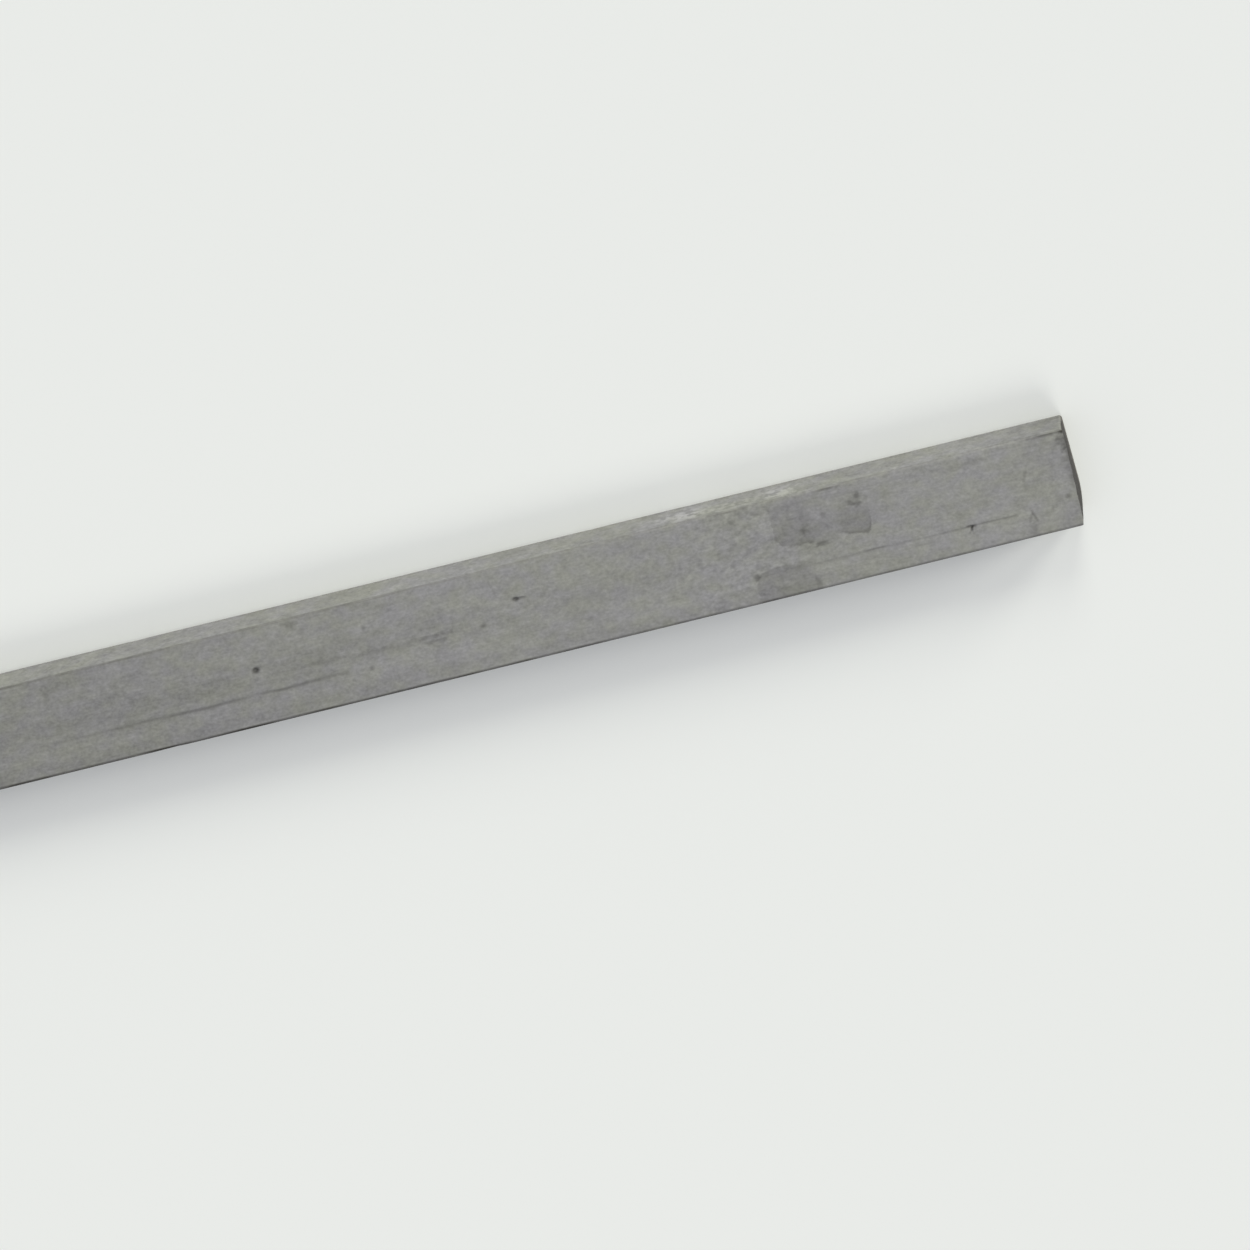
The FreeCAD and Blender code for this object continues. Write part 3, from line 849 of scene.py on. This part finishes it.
class BusbarShape(bpy.types.PropertyGroup):
    """Sizes of the bar."""

    width: length_property("Width", "Across the wide faces", BAR_HIGH.y - BAR_LOW.y)
    thickness: length_property("Thickness", "Height of the bar as it lies", BAR_HIGH.z - BAR_LOW.z)
    length: length_property("Length", "From the sawn end to the tip of the sheared end", 1.0)
    tip: length_property("Tip", "How far along X the tip of the sheared end lies", 0.5)
    edge_radius: length_property("Edge Radius", "Rounding of the drawn edges", 0.0008)
    saw_chamfer: length_property("Saw Chamfer", "Edge taken off the sawn end", 0.0003)
    near_set_back: length_property("Near Set-Back", "How far the near corner lies behind the tip", 0.0008)
    overrun: length_property("Overrun", "How far beyond the near side the cut line's end is measured", 0.002)
    tip_from_far_side: length_property("Tip From Far Side", "Where the tip lies across the bar", 0.009)
    tip_radius: length_property("Tip Radius", "Curve of the cut line round the tip", 0.041)
    shear_lean: length_property("Shear Lean", "How far the cut leans back over the thickness", 0.00095)
    break_height: length_property("Break Height", "Where the metal broke instead of being cut", 0.0034)
    break_set_back: length_property("Break Set-Back", "How far the broken face ends behind the tip", 0.0016)


class BusbarFinish(bpy.types.PropertyGroup):
    """Colours and gloss of the tinned copper, with the painted light and painted shade on it."""

    tin_cool: colour_property("Cool Tin", "Tin where it is greyest", (0.271, 0.268, 0.276))
    tin_warm: colour_property("Warm Tin", "Tin where it has yellowed", (0.272, 0.274, 0.247))
    # The stain colour also darkens the long edges and the tin by the sheared end, where it is painted shade.
    stain: colour_property("Stain", "Dirt in pits, dots and smudges", (0.020, 0.018, 0.014))
    sheared_copper: colour_property("Sheared Copper", "Where the blade cut", (0.062, 0.055, 0.049))
    torn_copper: colour_property("Torn Copper", "Where the metal broke", (0.030, 0.028, 0.027))
    sawn_copper: colour_property("Sawn Copper", "Sawn face, dulled", (0.34, 0.195, 0.135))
    left_tone: amount_property("Left Tone", "Brightness of the tin in the middle of the bar", 0.768)
    # Painted light: the wide faces are painted up to this brightness towards the sheared end.
    painted_light_end_tone: amount_property("Right Tone", "Brightness of the tin towards the sheared end", 0.903)
    side_tone: amount_property("Side Tone", "Brightness of the tin on the narrow sides", 0.783)
    mottle: amount_property("Mottle", "Contrast of the blotches, specks and fine drawing marks", 1.0)
    specks: amount_property("Specks", "How dark the scattered specks are", 0.10)
    # The two edge amounts darken the rounded long edges: partly painted shade, partly dirt.
    near_edge_shade_and_dirt: amount_property("Near Edge Shade And Dirt", "Dirt along the near edges", 0.44)
    far_edge_shade_and_dirt: amount_property("Far Edge Shade And Dirt", "Dirt along the far edges", 0.75)
    roughness: bpy.props.FloatProperty(
        name="Roughness", description="Roughness of the tin", default=0.68, min=0, max=1, subtype="FACTOR",
    )
    metallic: bpy.props.FloatProperty(
        name="Metallic", description="How much the tin still shines as metal", default=0.25, min=0, max=1,
        subtype="FACTOR",
    )


class BusbarStage(bpy.types.PropertyGroup):
    """Floor, light and camera. The shares of the light, each times its colour, add up to about 1 in red,
    green and blue, which shows the floor in its own colour."""

    floor: colour_property("Floor", "Colour of the floor and of the far background", (0.814, 0.831, 0.807))
    sky_colour: colour_property("Sky Colour", "Tint of the even light", (0.905, 0.908, 1.0))
    lamp_colour: colour_property("Lamp Colour", "Tint of the lamps", (1.0, 1.0, 0.914))
    sky: amount_property("Sky", "Share of the floor's light that comes evenly from all round", 0.5026)
    low: amount_property("Low Lamp", "Share that comes low over the near side", 0.125)
    wide: amount_property("Wide Lamp", "Share that comes low from between the other two low lamps", 0.115)
    end: amount_property("End Lamp", "Share that comes low from beyond the sheared end", 0.160)
    back: amount_property("Back Lamp", "Share that comes over the far side", 0.144)
    view_width: length_property("View Width", "How much of the floor the picture shows", 0.3415)
    view_distance: length_property("View Distance", "From the camera to the bar", 6.0)


class BUSBAR_OT_make_bar(bpy.types.Operator):
    """Makes the tinned bar in place of the plain one"""

    bl_idname = "busbar.make_bar"
    bl_label = "Make Bar"
    bl_options = {"REGISTER", "UNDO"}

    def execute(self, context):
        shape, look = context.scene.busbar_shape, context.scene.busbar_finish
        points, on_cut = bar_surface(shape)
        bar = bpy.data.objects.new("busbar_tinned", closed_mesh("busbar_tinned", points, on_cut))
        context.scene.collection.objects.link(bar)
        bar.data.materials.append(tinned_copper(look, shape))
        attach(bar, "root")
        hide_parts("busbar")
        return {"FINISHED"}


def soft_lamp(context, name, azimuth, elevation, spread, share, colour):
    """A far round lamp that gives that share of the floor's light. Its angles are those of LAMPS."""
    lamp = bpy.data.lights.new(name, "SUN")
    lamp.angle = math.radians(spread)
    lamp.color = colour[:3]
    lamp.energy = share * math.pi / math.sin(math.radians(elevation))
    holder = bpy.data.objects.new(name, lamp)
    context.scene.collection.objects.link(holder)
    a, e = math.radians(azimuth), math.radians(elevation)
    towards = np.array([math.cos(e) * math.cos(a), math.cos(e) * math.sin(a), math.sin(e)])
    side = np.cross([0.0, 0.0, 1.0], towards)
    side = side / np.linalg.norm(side)
    up = np.cross(towards, side)
    holder.matrix_world = Matrix(np.stack([side, up, towards], 1).tolist()).to_4x4()


class BUSBAR_OT_set_stage(bpy.types.Operator):
    """Sets the floor, the light and the camera"""

    bl_idname = "busbar.set_stage"
    bl_label = "Set Stage"
    bl_options = {"REGISTER", "UNDO"}

    def execute(self, context):
        scene, stage = context.scene, context.scene.busbar_stage
        reach, level = 30.0, -0.02 * MM
        square = ((-reach, -reach), (reach, -reach), (reach, reach), (-reach, reach))
        corners = [(x, y, level) for x, y in square]
        mesh = bpy.data.meshes.new("floor")
        mesh.from_pydata(corners, [], [(0, 1, 2, 3)])
        floor = bpy.data.objects.new("floor", mesh)
        scene.collection.objects.link(floor)
        mesh.materials.append(floor_material(stage))

        world = scene.world or bpy.data.worlds.new("Even Sky")
        scene.world = world
        world.use_nodes = True
        tree = world.node_tree
        tree.nodes.clear()
        path = add_node(tree, "ShaderNodeLightPath").outputs
        seen = maths(tree, "MAXIMUM", path["Is Camera Ray"], path["Is Glossy Ray"])
        seen = maths(tree, "MAXIMUM", seen, path["Is Transmission Ray"])
        even = (*(stage.sky * part for part in stage.sky_colour[:3]), 1.0)
        colour = blend_colour(tree, seen, even, stage.floor)
        sky = add_node(tree, "ShaderNodeBackground", {"Color": colour, "Strength": 1.0})
        add_node(tree, "ShaderNodeOutputWorld", {"Surface": sky.outputs[0]})
        tidy_nodes(tree)
        world.cycles.sampling_method = "NONE"

        shares = (stage.low, stage.wide, stage.end, stage.back)
        for (name, angles), share in zip(LAMPS.items(), shares):
            soft_lamp(context, name, *angles, share, stage.lamp_colour)

        camera = bpy.data.cameras.new("camera")
        camera.lens = camera.sensor_width * stage.view_distance / stage.view_width
        camera.clip_start, camera.clip_end = 0.1, 100.0
        holder = bpy.data.objects.new("camera", camera)
        scene.collection.objects.link(holder)
        turn = Matrix(np.array([VIEW_RIGHT, VIEW_UP, VIEW_BACK]).T.tolist()).to_4x4()
        place = np.array(VIEW_MIDDLE) + stage.view_distance * np.array(VIEW_BACK)
        holder.matrix_world = Matrix.Translation(place) @ turn
        scene.camera = holder
        scene.view_settings.view_transform = "Standard"
        return {"FINISHED"}


class BUSBAR_PT_panel(bpy.types.Panel):
    """Sizes, finish and stage of the busbar"""

    bl_label = "Busbar"
    bl_idname = "BUSBAR_PT_panel"
    bl_space_type = "VIEW_3D"
    bl_region_type = "UI"
    bl_category = "Busbar"

    def draw(self, context):
        for settings, operator in ((context.scene.busbar_shape, None),
                                   (context.scene.busbar_finish, "busbar.make_bar"),
                                   (context.scene.busbar_stage, "busbar.set_stage")):
            box = self.layout.box()
            for name in settings.__annotations__:
                box.prop(settings, name)
            if operator:
                box.operator(operator)


CLASSES = (BusbarShape, BusbarFinish, BusbarStage, BUSBAR_OT_make_bar, BUSBAR_OT_set_stage, BUSBAR_PT_panel)


def register():
    """Adds the settings, operators and panel to the program."""
    for one in CLASSES:
        bpy.utils.register_class(one)
    bpy.types.Scene.busbar_shape = bpy.props.PointerProperty(type=BusbarShape)
    bpy.types.Scene.busbar_finish = bpy.props.PointerProperty(type=BusbarFinish)
    bpy.types.Scene.busbar_stage = bpy.props.PointerProperty(type=BusbarStage)


def unregister():
    """Takes them away again."""
    del bpy.types.Scene.busbar_stage
    del bpy.types.Scene.busbar_finish
    del bpy.types.Scene.busbar_shape
    for one in reversed(CLASSES):
        bpy.utils.unregister_class(one)


def main():
    """Registers the add-on and makes the bar and the stage."""
    register()
    bpy.ops.busbar.make_bar()
    bpy.ops.busbar.set_stage()


if __name__ == "__main__":
    main()
